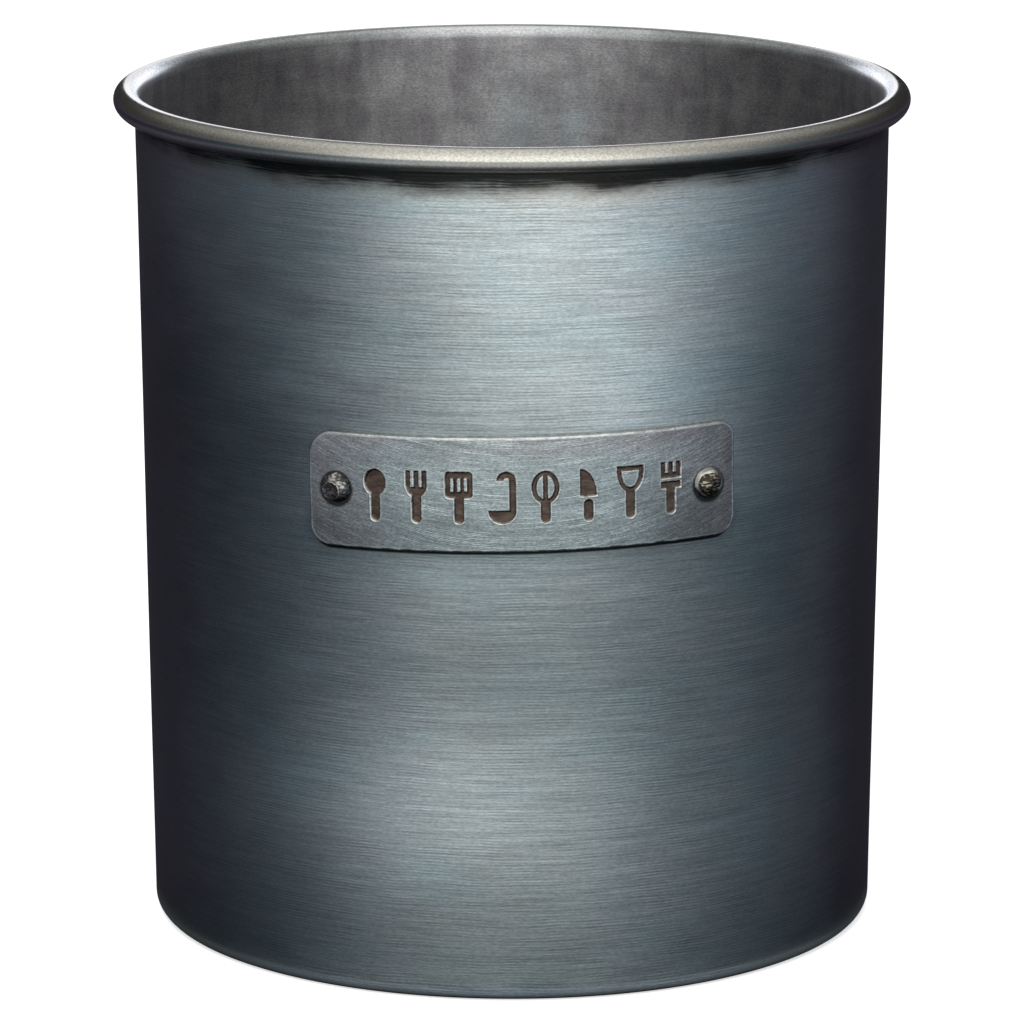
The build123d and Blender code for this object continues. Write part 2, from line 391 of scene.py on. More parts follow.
def fork(x, y):
    """Three tines on a round shoulder over a stem."""
    tine_length = 2.8
    shoulder = SIGN_TOP - SIGN_HALF
    square_top = block(x, y, NARROW_HEAD, SIGN_HALF, 0, (shoulder + SIGN_TOP) / 2)
    head = join(ellipse(x, y, NARROW_HEAD / 2, SIGN_HALF, shoulder), square_top)
    tines = cut(head, *tine_slots(x, y, tine_length))
    return join(tines, stem(x, y, SIGN_TOP - tine_length - SIGN_SLOT))


def turner(x, y):
    """Rounded blade with three slots over a stem."""
    middle = SIGN_TOP - SIGN_HALF
    step = SIGN_HALF / 2
    corner = 0.7
    blade = block(x, y, 2 * SIGN_HALF, 2 * SIGN_HALF, 0, middle, corner)
    return join(cut(blade, *slots(x, y, 3, step, middle + step, SIGN_HALF)), stem(x, y, middle - step))


def ladle(x, y):
    """Half-round bowl at the foot, with its handle up one side to a hook at the top."""
    outer, inner, hook_place, overlap = 1.6, 0.5, 0.7, 0.2
    bowl_top = SIGN_FOOT + SIGN_HALF
    hook_foot = SIGN_TOP - outer
    bowl = cut(circle(x, y, SIGN_HALF, 0, bowl_top), bowl_top - y)
    handle_place = hook_place + (outer + inner) / 2
    handle_length = hook_foot - bowl_top + 2 * overlap
    handle = block(x, y, outer - inner, handle_length, handle_place, (hook_foot + bowl_top) / 2)
    ring = cut(circle(x, y, outer, hook_place, hook_foot), circle(x, y, inner, hook_place, hook_foot))
    return join(bowl, handle, cut(ring, y - hook_foot))


def hoop(x, y, half_height, middle):
    """Line along an ellipse as wide as a sign."""
    inside = ellipse(x, y, SIGN_HALF - SIGN_LINE, half_height - SIGN_LINE, middle)
    return cut(ellipse(x, y, SIGN_HALF, half_height, middle), inside)


def whisk(x, y):
    """Balloon of wires, with one wire up its middle, over a stem."""
    half_height = 2.85
    middle = SIGN_TOP - half_height
    wire = block(x, y, SIGN_LINE, 2 * half_height - SIGN_LINE, 0, middle)
    return join(hoop(x, y, half_height, middle), wire, stem(x, y, SIGN_TOP - 2 * half_height + SIGN_LINE))


def knife(x, y):
    """Blade with a straight back and a curved edge, over a stem that stands clear of it."""
    length, back = 4.7, 1.4
    foot = SIGN_TOP - length
    blade = cut(ellipse(x + back, y, 2 * back, length, foot), y - foot, x + back)
    return join(blade, stem(x, y, foot - SIGN_SLOT))


def masher(x, y):
    """Flat foot at the top, on two curved legs that join the stem."""
    thickness, leg_length, overlap = 0.85, 3.65, 0.3
    foot = SIGN_TOP - thickness
    legs = cut(hoop(x, y, leg_length, foot), foot + overlap - y)
    plate = block(x, y, 2 * SIGN_HALF, thickness, 0, foot + thickness / 2)
    return join(legs, plate, stem(x, y, foot - leg_length + SIGN_LINE))


def brush(x, y):
    """Cut bristles over a ferrule and a stem."""
    bristle_length, cut_depth, ferrule_height = 2.8, 1.8, 1.2
    bristles = block(x, y, NARROW_HEAD, bristle_length, 0, SIGN_TOP - bristle_length / 2)
    ferrule = SIGN_TOP - bristle_length - SIGN_SLOT - ferrule_height / 2
    held = block(x, y, NARROW_HEAD, ferrule_height, 0, ferrule)
    return join(cut(bristles, *tine_slots(x, y, cut_depth)), held, stem(x, y, ferrule))


def sign_distance(along, up):
    """Distance outside the row of stamped tools: the least over the eight signs, each in its own place."""
    signs = [spoon, fork, turner, ladle, whisk, knife, masher, brush]
    places = [(index - (len(signs) - 1) / 2) * SIGN_PITCH for index in range(len(signs))]
    return join(*[sign(along - place, up + SIGN_DROP) for sign, place in zip(signs, places)])


def smooth_noise(x, y, size, seed):
    """Smooth noise, mostly from -1 to 1: a fifth of the sum of eight slanted cosines.

    Their wavelengths are about size, and their angles and phases come from the seed.
    """
    source = np.random.default_rng(seed)
    total = np.zeros(np.broadcast(x, y).shape)
    for _ in range(8):
        angle, phase = source.uniform(0, 2 * math.pi, 2)
        rate = 2 * math.pi / (size * source.uniform(0.7, 1.5))
        total += np.cos(rate * (x * math.cos(angle) + y * math.sin(angle)) + phase)
    return total / 5


def steps_between(*stops):
    """Values from stop to stop. Each later stop is (value, step): the stretch to it is split near step."""
    values = [np.array([stops[0]], float)]
    for value, step in stops[1:]:
        last = values[-1][-1]
        count = max(1, round(abs(value - last) / step))
        values.append(np.linspace(last, value, count + 1)[1:])
    return np.concatenate(values)


def corner_drop(along, left, right):
    """How far a long edge of the plate falls away round its corners, which have a radius at each end."""
    radius = np.where(along > 0, right, left)
    over = np.clip(np.abs(along) - PLATE_LENGTH / 2 + radius, 0, radius)
    return radius - np.sqrt(radius**2 - over**2)


def plate_lines():
    """Places of the plate's columns along it and rows up it, in millimetres, closest where it is stamped.

    The columns at the ends follow the corners' quarter rounds.
    """
    half_length, half_height = PLATE_LENGTH / 2, PLATE_HEIGHT / 2
    left_end, right_end = UPPER_LEFT - half_length, half_length - LOWER_RIGHT
    straight = steps_between(left_end, (-28.2, PLAIN_STEP), (28.2, STAMP_STEP), (right_end, PLAIN_STEP))
    bend = np.sin(np.linspace(0, math.pi / 2, 17)[1:])
    along = np.concatenate([left_end - UPPER_LEFT * bend[::-1], straight, right_end + LOWER_RIGHT * bend])
    lower = [(-9.78, 0.04), (-9.4, 0.1), (-5.4, PLAIN_STEP)]
    upper = [(4.4, STAMP_STEP), (9.4, PLAIN_STEP), (9.78, 0.1), (half_height, 0.04)]
    return along, steps_between(-half_height, *lower, *upper)


def plate_relief(s, t):
    """Height of the plate's face over the wall, and the values that its material reads, at each place s, t.

    The height is the thickness, less a quarter round along the outline, less the depth of the stamped tools,
    which falls as a smooth step across each tool's edge, plus a low lip round the tools and slow dents.
    Within a tool, overhang is one where its upper left edge shades the floor. lit_edge rises to one along
    the lower edges, where the stamped wall faces up.
    """
    upper = np.where(s > 0, UPPER_RIGHT, UPPER_LEFT)
    corner = np.where(t > 0, upper, np.where(s > 0, LOWER_RIGHT, LOWER_LEFT))
    from_edge = -block(s, t, PLATE_LENGTH, PLATE_HEIGHT, corner=corner)
    round_off = EDGE_ROUND + 0.12 * smooth_noise(s, t, 3.0, 3) + 0.05 * smooth_noise(s, t, 0.7, 4)
    drop = np.maximum(round_off - np.maximum(from_edge, 0), 0)
    edge = round_off - np.sqrt(np.maximum(round_off**2 - drop**2, 0))
    stamp_distance = sign_distance(s, t)
    ragged = stamp_distance + STAMP_RAGGED * smooth_noise(s, t, 0.8, 5)
    depth = smooth_step(np.clip((SLOPE_START - ragged) / SLOPE_WIDTH, 0, 1))
    overhang = np.clip((sign_distance(s - 0.12, t + 0.26) + SHADE_SOFT) / SHADE_SOFT, 0, 1)
    lower_side = np.clip((sign_distance(s - 0.05, t - 0.2) - stamp_distance) / 0.2, 0, 1)
    lit_edge = lower_side * np.exp(-((ragged + 0.02) / 0.1) ** 2)
    lip_height = LIP_HEIGHT + 0.015 * smooth_noise(s, t, 1.1, 6)
    lip = np.exp(-((ragged - LIP_OUT) / LIP_WIDTH) ** 2) * lip_height
    floor = 0.02 * smooth_noise(s, t, 0.9, 7) * depth
    dents = 0.02 * smooth_noise(s, t, 9.0, 8) + 0.008 * smooth_noise(s, t, 2.6, 9)
    sink = SIGN_DEPTH * depth - lip + floor
    out = PLATE_SEAT_GAP + PLATE_THICKNESS - PLATE_ALLOWANCE - edge - sink + dents * np.clip(from_edge, 0, 1)
    return out, {"from_outline": from_edge, "from_sign": ragged, "overhang": overhang, "lit_edge": lit_edge}


def make_front_plate():
    """The stamped plate as one closed surface: its face, its back, and sides that join the two.

    The columns are as tall as the rounded outline lets them be.
    """
    along, up = plate_lines()
    columns, rows = len(along), len(up)
    top = PLATE_HEIGHT / 2 - corner_drop(along, UPPER_LEFT, UPPER_RIGHT)
    foot = PLATE_HEIGHT / 2 - corner_drop(along, LOWER_LEFT, LOWER_RIGHT)
    share_up = (up + PLATE_HEIGHT / 2) / PLATE_HEIGHT
    s = np.repeat(along[:, None], rows, 1)
    t = share_up[None] * top[:, None] - (1 - share_up[None]) * foot[:, None]
    out, values = plate_relief(s, t)
    front = on_wall(s, t, out).reshape(-1, 3)
    number = np.arange(columns * rows).reshape(columns, rows)
    loop = np.concatenate([number[:, 0], number[-1, 1:], number[-2::-1, -1], number[0, -2:0:-1]])
    loop_s, loop_t = s.ravel()[loop], t.ravel()[loop]
    back = on_wall(loop_s, loop_t, np.full(len(loop), PLATE_SEAT_GAP))
    first = len(front)
    here = np.arange(len(loop))
    beside = np.roll(here, -1)
    faces = grid_faces(number.T).tolist()
    faces += np.stack([loop, first + here, first + beside, loop[beside]], -1).tolist()
    low_row = first + np.arange(columns)
    high_row = first + columns + rows - 2 + np.arange(columns)[::-1]
    faces += np.stack([low_row[1:-2], high_row[1:-2], high_row[2:-1], low_row[2:-1]], -1).tolist()
    right_side = (first + np.arange(columns - 2, columns + rows)).tolist()
    left_side = (first + np.arange(len(loop) - rows, len(loop))).tolist() + [first, first + 1]
    faces += [right_side[::-1], left_side[::-1]]
    place = np.stack([s.ravel(), t.ravel(), out.ravel()], -1)
    back_place = np.stack([loop_s, loop_t, np.zeros(len(loop))], -1)
    attributes = {"on_plate": np.concatenate([place, back_place]) * MM}
    for key, grid in values.items():
        on_back = FAR_FROM_SIGNS if key == "from_sign" else 0.0
        attributes[key] = np.concatenate([grid.ravel(), np.full(len(loop), on_back)])
    plate = make_piece("stamped_plate", np.concatenate([front, back]), faces, attributes, sharp=55)
    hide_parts("front_plate")
    return plate


# Rivets

# Hammered flats: degrees from the head's axis, degrees round it, and how deep each cuts into the cap
LEFT_FLATS = [(10, 250, 0.5), (44, 20, 0.2), (46, 80, 0.24), (48, 140, 0.2)]
LEFT_MARK = LEFT_FLATS[0]
RIGHT_FLATS = [(12, 330, 0.3), (44, 40, 0.16), (46, 230, 0.2), (44, 290, 0.16)]
RIGHT_MARK = (14, 185, 0.95)
RIVET_COLUMNS = 96
HEAD_RINGS = 26


def hammered_head(x, y, swell, seat, flats, mark, lip):
    """A rivet's outer head at x and y: its height, its depth below the cap, and how far past the mark it is.

    The head is a cap of a sphere, cut down by the flats: at each point its height is the least of the
    cap's and of each flat's plane. mark is the round patch that was struck last, given like a flat. It is
    dished a little, and lip raises its edge.
    """
    cap_radius = (HEAD_RADIUS**2 + HEAD_HEIGHT**2) / (2 * HEAD_HEIGHT)
    cap_centre = seat + HEAD_HEIGHT - cap_radius
    cap = cap_centre + np.sqrt(np.maximum(cap_radius**2 - (x / swell) ** 2 - (y / swell) ** 2, 0))
    level = cap
    for from_axis, round_axis, depth in flats:
        tilt, way = math.radians(from_axis), math.radians(round_axis)
        slope = math.sin(tilt) * (x * math.cos(way) + y * math.sin(way))
        plane = cap_centre + (cap_radius - depth - slope) / math.cos(tilt)
        gap = np.clip(0.5 + (level - plane) / FLAT_BLEND, 0, 1)
        level = level * (1 - gap) + plane * gap - FLAT_BLEND / 2 * gap * (1 - gap)
    reach = np.hypot(x, y) / swell / HEAD_RADIUS
    level = np.maximum(level, seat + HEAD_EDGE * np.sqrt(np.maximum(1 - reach**2, 0)))
    tilt, way = math.radians(mark[0]), math.radians(mark[1])
    axis = np.array([math.sin(tilt) * math.cos(way), math.sin(tilt) * math.sin(way), math.cos(tilt)])
    lean_in = (x * axis[0] + y * axis[1] + (cap - cap_centre) * axis[2]) / cap_radius
    from_axis = np.arccos(np.clip(lean_in, -1, 1)) * cap_radius
    mark_edge = math.acos(1 - mark[2] / cap_radius) * cap_radius
    beyond = from_axis - mark_edge + 0.1 * smooth_noise(x, y, 1.2, 31)
    level = level + lip * np.exp(-((beyond / 0.16) ** 2)) + 0.012 * smooth_noise(x, y, 0.5, 21)
    level = level - 0.05 * np.clip(-beyond, 0, 1) ** 2
    level[-1] = seat
    return level, cap - level, beyond


def shank_and_inner_head(seat):
    """Section of a rivet below its outer head: radii and heights of its shank and its inner head."""
    wall_inside = wall_radius(PLATE_CENTRE) - SHEET
    hollow = wall_inside - math.sqrt(wall_inside**2 - INNER_HEAD_RADIUS**2)
    inner_seat = -SHEET - RIVET_SEAT_GAP - hollow
    inner_end = inner_seat - INNER_HEAD_HEIGHT
    bend = np.linspace(0, math.pi / 2, 5)
    rounded = INNER_HEAD_RADIUS - INNER_HEAD_EDGE * (1 - np.cos(bend))
    radii = [SHANK_RADIUS, SHANK_RADIUS, INNER_HEAD_RADIUS, *rounded, INNER_HEAD_FLAT]
    rounded = inner_end + INNER_HEAD_EDGE * (1 - np.sin(bend))
    heights = [seat, inner_seat, inner_seat, *rounded, inner_end]
    return np.array(radii), np.array(heights)


def rivet_frame(arc, lift):
    """Where a rivet's axis meets the wall, and the directions across it, up it and out of the wall."""
    centre = on_wall(np.array(arc), np.array(lift), np.array(0.0))
    angle = (arc * math.cos(PLATE_TILT) - lift * math.sin(PLATE_TILT)) / wall_radius(PLATE_CENTRE)
    side = np.array([math.cos(angle), math.sin(angle), 0])
    level_out = np.array([math.sin(angle), -math.cos(angle), 0])
    outward = level_out * math.cos(LEAN) - np.array([0, 0, math.sin(LEAN)])
    return centre, side, np.cross(outward, side), outward


def make_rivet(name, node, slot, arc, lift, flats, dints, mark, lip):
    """One rivet as a closed surface turned about its own axis, from its outer head's top to its inner head.

    arc and lift place it on the plate. dints is the number of small flats, in random directions, that join
    the hammered ones. Each ring of the outer head swells and shrinks a little, as two cosines of the turn.
    """
    seat = PLATE_SEAT_GAP + PLATE_THICKNESS + RIVET_SEAT_GAP
    source = np.random.default_rng(len(name) * 7 + int(arc))
    small_flats = [
        (source.uniform(5, 62), source.uniform(0, 360), source.uniform(0.04, 0.10)) for _ in range(dints)
    ]
    turn = np.arange(RIVET_COLUMNS) * 2 * math.pi / RIVET_COLUMNS
    reach = HEAD_RADIUS * np.sin(np.linspace(0, math.pi / 2, HEAD_RINGS + 1)[1:])
    swell = 1 - 0.02 * (1 + np.cos(3 * turn + arc)) - 0.012 * (1 + np.cos(7 * turn - arc))
    radius = reach[:, None] * swell[None]
    x, y = radius * np.cos(turn), radius * np.sin(turn)
    level, worn_down, beyond = hammered_head(x, y, swell, seat, flats + small_flats, mark, lip)
    radii, heights = shank_and_inner_head(seat)
    tail = np.ones((len(radii), RIVET_COLUMNS))
    across = np.concatenate([x, radii[:, None] * np.cos(turn)]).ravel()
    up = np.concatenate([y, radii[:, None] * np.sin(turn)]).ravel()
    out = np.concatenate([level, heights[:, None] * tail]).ravel()
    across = np.concatenate([across, [0, 0]])
    up = np.concatenate([up, [0, 0]])
    out = np.concatenate([out, [level[0].mean(), heights[-1]]])
    centre, side, rise, outward = rivet_frame(arc, lift)
    points = centre + across[:, None] * side + up[:, None] * rise + out[:, None] * outward
    rows = len(reach) + len(radii)
    count = rows * RIVET_COLUMNS
    faces = ring_faces(rows, RIVET_COLUMNS)[:, ::-1].tolist()
    faces += pole_faces(count, 0, RIVET_COLUMNS, True).tolist()
    faces += pole_faces(count + 1, count - RIVET_COLUMNS, RIVET_COLUMNS, False).tolist()
    from_flat = np.concatenate([beyond.ravel(), np.full(tail.size + 2, FAR_FROM_MARK)])
    from_flat[-2] = beyond[0].mean()
    values = {
        "worn_down": np.concatenate([worn_down.ravel(), np.zeros(tail.size + 2)]),
        "on_rivet": np.stack([across, up, out], -1) * MM,
        "from_flat": from_flat,
    }
    rivet = make_piece(name, points, faces, values, sharp=60)
    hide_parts(node)
    return rivet


# Shader trees

class Value:
    """An output in a shader tree. Arithmetic on one that is a number adds Math nodes to the tree."""

    def __init__(self, tree, socket):
        self.tree = tree
        self.socket = socket

    def __add__(self, other):
        return calc("ADD", self, other)

    def __sub__(self, other):
        return calc("SUBTRACT", self, other)

    def __rsub__(self, other):
        return calc("SUBTRACT", other, self)

    def __mul__(self, other):
        return calc("MULTIPLY", self, other)

    def __truediv__(self, other):
        return calc("DIVIDE", self, other)

    def __abs__(self):
        return calc("ABSOLUTE", self)

    def held(self):
        """This value, held between 0 and 1 by the Math node that works it out."""
        self.socket.node.use_clamp = True
        return self


def plug(tree, node, sockets):
    """Gives each named input of a node a plain value, or a link to an output."""
    for key, value in sockets.items():
        if isinstance(value, Value):
            tree.links.new(value.socket, node.inputs[key])
        else:
            node.inputs[key].default_value = value


def put(tree, kind, sockets=None, output=0, **settings):
    """Adds a shader node with its settings and inputs, and gives one of its outputs, if it has any."""
    node = tree.nodes.new("ShaderNode" + kind)
    for key, value in settings.items():
        setattr(node, key, value)
    plug(tree, node, sockets or {})
    return Value(tree, node.outputs[output]) if node.outputs else None


def tree_of(*inputs):
    """The shader tree that the first output among some inputs belongs to."""
    return next(item.tree for item in inputs if isinstance(item, Value))


def calc(operation, *inputs):
    """Output of a Math node."""
    return put(tree_of(*inputs), "Math", dict(enumerate(inputs)), operation=operation)


def vector_calc(operation, *inputs):
    """Output of a Vector Math node: a number for a length or a dot product, and else a vector."""
    output = "Value" if operation in ("LENGTH", "DOT_PRODUCT") else "Vector"
    return put(tree_of(*inputs), "VectorMath", dict(enumerate(inputs)), output, operation=operation)


def parts(vector):
    """The three numbers that make up a vector."""
    first = put(vector.tree, "SeparateXYZ", {0: vector})
    return [Value(vector.tree, socket) for socket in first.socket.node.outputs]


def joined(x, y, z=0.0):
    """The vector that three numbers make up."""
    return put(x.tree, "CombineXYZ", {0: x, 1: y, 2: z})


def span(value, low, high, to_low=0.0, to_high=1.0):
    """A value moved smoothly from one range to another, and held at its ends."""
    sockets = {0: value, 1: low, 2: high, 3: to_low, 4: to_high}
    return put(value.tree, "MapRange", sockets, interpolation_type="SMOOTHSTEP")


def tint(factor, first, second, mode="MIX"):
    """Colour between two colours, or a blend of them."""
    sockets = {0: factor, 6: first, 7: second}
    return put(factor.tree, "Mix", sockets, 2, data_type="RGBA", blend_type=mode)


def shaded(colour, *shades):
    """A colour times one or more numbers."""
    total = math.prod(shades[1:], start=shades[0])
    return put(total.tree, "VectorMath", {0: colour, "Scale": total}, operation="SCALE")


def rgb(red, green, blue):
    """Opaque colour."""
    return (red, green, blue, 1.0)


def fact(tree, name, output="Fac"):
    """Value of a mesh attribute."""
    return put(tree, "Attribute", output=output, attribute_name=name)


# Shader groups

def make_group(name, vectors, numbers, output, build):
    """Shader group with vector and number inputs, and one number output that build makes of them."""
    group = bpy.data.node_groups.new(name, "ShaderNodeTree")
    for key in vectors:
        group.interface.new_socket(key, in_out="INPUT", socket_type="NodeSocketVector")
    for key in numbers:
        group.interface.new_socket(key, in_out="INPUT", socket_type="NodeSocketFloat")
    group.interface.new_socket(output, in_out="OUTPUT", socket_type="NodeSocketFloat")
    given = group.nodes.new("NodeGroupInput")
    inputs = [Value(group, given.outputs[key]) for key in vectors + numbers]
    plug(group, group.nodes.new("NodeGroupOutput"), {output: build(*inputs)})
    return group


def use_group(group, *inputs):
    """Output of a shader group that is given its inputs in order."""
    tree = tree_of(*inputs)
    node = tree.nodes.new("ShaderNodeGroup")
    node.node_tree = group
    plug(tree, node, dict(enumerate(inputs)))
    return Value(tree, node.outputs[0])


def noise_at(place, **settings):
    """Value of a noise texture at a place."""
    return put(place.tree, "TexNoise", {"Vector": place, **settings})


def brush_lines(position, across, length, period):
    """Brush lines, from 0 to 1, that run across X and Y and follow each other along the distance across.

    They are a sine of that distance, pushed about by slow noise and stronger in some places than in others,
    with finer noise lines between them.
    """
    x, y, _ = parts(position)
    x, y = x / length, y / length
    count = across / period
    push = noise_at(joined(x, y, count * 0.05), Scale=1.0, Detail=1.0)
    wave = calc("SINE", (push * 2.0 + count) * (2 * math.pi))
    strong = noise_at(joined(x, y, count * 0.07), Scale=1.7, Detail=2.0)
    thin = noise_at(joined(x, y, count * 1.3), Scale=1.0, Detail=3.0, Roughness=0.65)
    return (wave * span(strong, 0.35, 0.7, 0.04, 0.36) + span(thin, 0.2, 0.8, 0.1, 0.9)).held()


def patina_blotch(position, size, seed):
    """Patina blotches: broad cloudy noise with ragged edges, drawn out along the brushing."""
    x, y, z = parts(position)
    place = joined(x / size, y / size, z / size * 2.4 + seed)
    return span(noise_at(place, Scale=1.0, Detail=4.0, Roughness=0.55, Distortion=0.3), 0.32, 0.68)


def soft_spot(position, centre, reach):
    """Falls off from the centre as exp of minus the squared distance, each way in its own reach."""
    scaled = vector_calc("DIVIDE", vector_calc("SUBTRACT", position, centre), reach)
    return calc("EXPONENT", vector_calc("DOT_PRODUCT", scaled, scaled) * -1.0)


BRUSHING = make_group("Brush lines", ["Position"], ["Across", "Length", "Period"], "Lines", brush_lines)
BLOTCHES = make_group("Patina blotches", ["Position"], ["Size", "Seed"], "Blotch", patina_blotch)
SPOT = make_group("Soft spot", ["Position", "Centre", "Reach"], [], "Spot", soft_spot)


def brushing(*inputs):
    """Output of the brush line group: position, distance across, line length and period, in metres."""
    return use_group(BRUSHING, *inputs)


def blotches(*inputs):
    """Output of the patina group: position and size, in metres, and a seed."""
    return use_group(BLOTCHES, *inputs)


def spot(*inputs):
    """Output of the soft spot group: position, centre and reach, in metres."""
    return use_group(SPOT, *inputs)


# Materials

def new_tree(owner):
    """Empty shader tree of a material or a world."""
    owner.use_nodes = True
    owner.node_tree.nodes.clear()
    return owner.node_tree


def new_material(name):
    """Empty material: its tree, and its object coordinates."""
    material = bpy.data.materials.new(name)
    tree = new_tree(material)
    return material, tree, put(tree, "TexCoord", output="Object")


def finish_metal(colour, roughness, height, bump_distance, anisotropic=0.0):
    """Principled metal with its bump and, on brushed pieces, a highlight drawn out across the brushing."""
    tree = colour.tree
    sockets = {
        "Base Color": colour,
        "Metallic": 1.0,
        "Roughness": roughness,
        "Normal": put(tree, "Bump", {"Strength": 1.0, "Distance": bump_distance, "Height": height}),
    }
    if anisotropic:
        sockets["Anisotropic"] = anisotropic
        sockets["Anisotropic Rotation"] = QUARTER_TURN
        sockets["Tangent"] = put(tree, "Tangent", direction_type="RADIAL", axis="Z")
    put(tree, "OutputMaterial", {0: put(tree, "BsdfPrincipled", sockets)})


def plate_place(position):
    """Distance along and up from the plate's middle, in metres, of a point on the wall."""
    across, depth, height = parts(position)
    arc = calc("ARCTAN2", across, depth * -1.0) * (wall_radius(PLATE_CENTRE) * MM)
    rise = height - PLATE_CENTRE * MM
    slope = math.tan(PLATE_TILT)
    return rise * slope + arc, arc * -slope + rise


def outside_plate(along, up, corner):
    """Distance in metres outside the plate's outline, with one radius for all its corners."""
    across = calc("MAXIMUM", abs(along) - (PLATE_LENGTH / 2 - corner) * MM, 0.0)
    over = calc("MAXIMUM", abs(up) - (PLATE_HEIGHT / 2 - corner) * MM, 0.0)
    return vector_calc("LENGTH", joined(across, over)) - corner * MM


def plate_shadow_and_dirt(position):
    """Painted shadow on the wall close round the plate, widest below, with dirt along its edge."""
    along, up = plate_place(position)
    gap = outside_plate(along, up + 0.0003, LOWER_LEFT) + span(up, -0.007, 0.0, 0.0, 0.002)
    return span(gap, 0.0002, 0.00055, 0.05, 1.0) * span(gap, 0.0, 0.003, 0.75, 1.0)


# Broad spots on the wall, partly patina and partly painted highlight and shade: centre and reach in metres,
# then the share of the tone that they take away, or what they add to it
DARK_SPOTS = [
    ((-0.036, -0.056, 0.132), (0.020, 0.035, 0.018), 0.5),
    ((-0.021, -0.062, 0.116), (0.026, 0.05, 0.014), 0.32),
    ((0.0455, -0.047, 0.101), (0.022, 0.03, 0.021), 0.56),
]
LIGHT_SPOTS = [
    ((0.027, -0.057, 0.043), (0.017, 0.03, 0.022), -0.08),
    ((-0.008, -0.064, 0.0735), (0.022, 0.05, 0.008), 0.15),
    ((0.049, -0.042, 0.036), (0.018, 0.03, 0.036), 0.34),
    ((-0.046, -0.046, 0.045), (0.020, 0.03, 0.040), 0.035),
]


def wall_wear_and_sheen(position, cloud, small):
    """How light the wall is, from 0 to 1: partly worn patina and partly painted highlight and shade."""
    across, depth, up = parts(position)
    # Partly patina, partly painted highlight: lighter high up, slanting a little, and in a spot low in front
    slanted = cloud * 0.010 + (across * 0.31 + up)
    tone = span(slanted, 0.086, 0.128) * 0.78 + 0.10
    tone = spot(position, (-0.018, -0.063, 0.0355), (0.032, 0.05, 0.0135)) * 0.46 + tone
    # Painted shade: darker towards the sides, where the wall turns away from the front
    tone = tone * span(depth, -0.012, -0.050, 0.45, 1.0)
    for centre, reach, share in DARK_SPOTS:
        tone = tone * (1.0 - spot(position, centre, reach) * share)
    for centre, reach, added in LIGHT_SPOTS:
        tone = spot(position, centre, reach) * added + tone
    return (small * 0.04 + (cloud * 0.05 + tone)).held()


def wall_colour(position, lines, grain, small, teal, speck, strong):
    """The wall outside: worn patina, painted shadow with dirt under the bead and round the plate, and
    brushing.
    """
    across, _, up = parts(position)
    tone = wall_wear_and_sheen(position, blotches(position, 0.045, 2.0), small)
    brown = blotches(position, 0.022, 13.0)
    colour = tint(tone, rgb(0.150, 0.176, 0.183), rgb(0.580, 0.632, 0.640))
    colour = tint(span(teal, 0.3, 1.0, 0.0, 0.3), colour, rgb(0.84, 1.0, 1.05), "MULTIPLY")
    colour = tint(span(brown, 0.45, 1.0, 0.0, 0.35), colour, rgb(1.0, 0.93, 0.89), "MULTIPLY")
    ragged = lines * 0.0016 + small * 0.0012
    streaks = ragged + up - span(abs(across), 0.038, 0.052, 0.0, 0.0012)
    colour = tint(span(streaks, 0.1390, 0.1425, 0.0, 0.7), colour, rgb(1.0, 0.88, 0.80), "MULTIPLY")
    shades = [
        # Painted shadow under the bead, with some dirt: near black close under it, ending in ragged streaks
        span(streaks, 0.1444, 0.1407, 0.04, 1.0),
        # Painted shade: darker towards the foot
        span(up, 0.0, 0.024, 0.72, 1.0),
        # Painted shade: darker at the right edge and, a little, at the left
        span(across, 0.050, 0.0625, 1.0, 0.6),
        span(across, -0.054, -0.064, 1.0, 0.93),
        plate_shadow_and_dirt(position),
        (lines * 0.64 - 0.32) * strong + 1.0,
        (grain * 0.52 - 0.26) * strong + 1.0,
        speck * 0.16 + 0.92,
    ]
    return shaded(colour, *shades)


def inside_colour(position, roll, at_back, shoulder, lines, small, teal, speck):
    """The can inside: dark and a little purple, with smudges, two pale patches behind, a light top and
    painted light.
    """
    aside = abs(parts(position)[0])
    smudge = blotches(vector_calc("MULTIPLY", position, (1.0, 1.0, 0.15)), 0.004, 17.0)
    tone = teal * 0.3 + (small * 0.35 + smudge * 0.45)
    colour = tint(tone, rgb(0.29, 0.28, 0.305), rgb(0.60, 0.60, 0.63))
    # Painted light: lighter towards the middle, darker towards the ends
    colour = shaded(colour, span(aside, 0.058, 0.015, 0.64, 1.15))
    patches = spot(position, (0.003, 0.066, 0.127), (0.005, 0.03, 0.011))
    patches = patches + spot(position, (0.0135, 0.065, 0.128), (0.004, 0.03, 0.010))
    colour = tint(patches * (small * 0.5 + 0.5) * 0.8, colour, rgb(0.66, 0.76, 0.80))
    # Painted highlight on the shoulder behind, strongest in the middle, with painted shade lower down it
    painted_shine = spot(position, (-0.001, 0.066, 0.148), (0.024, 0.03, 0.03)) * 0.52 + 0.44
    painted_shine = (small * 0.3 + painted_shine) * span(roll, 0.0, 1.9, 0.45, 1.1)
    painted_shine = at_back * (painted_shine - 1.0) + 1.0
    colour = tint(shoulder, colour, shaded((0.80, 0.85, 0.89), painted_shine))
    return shaded(colour, speck * 0.44 + 0.78, lines * 0.14 + 0.93)


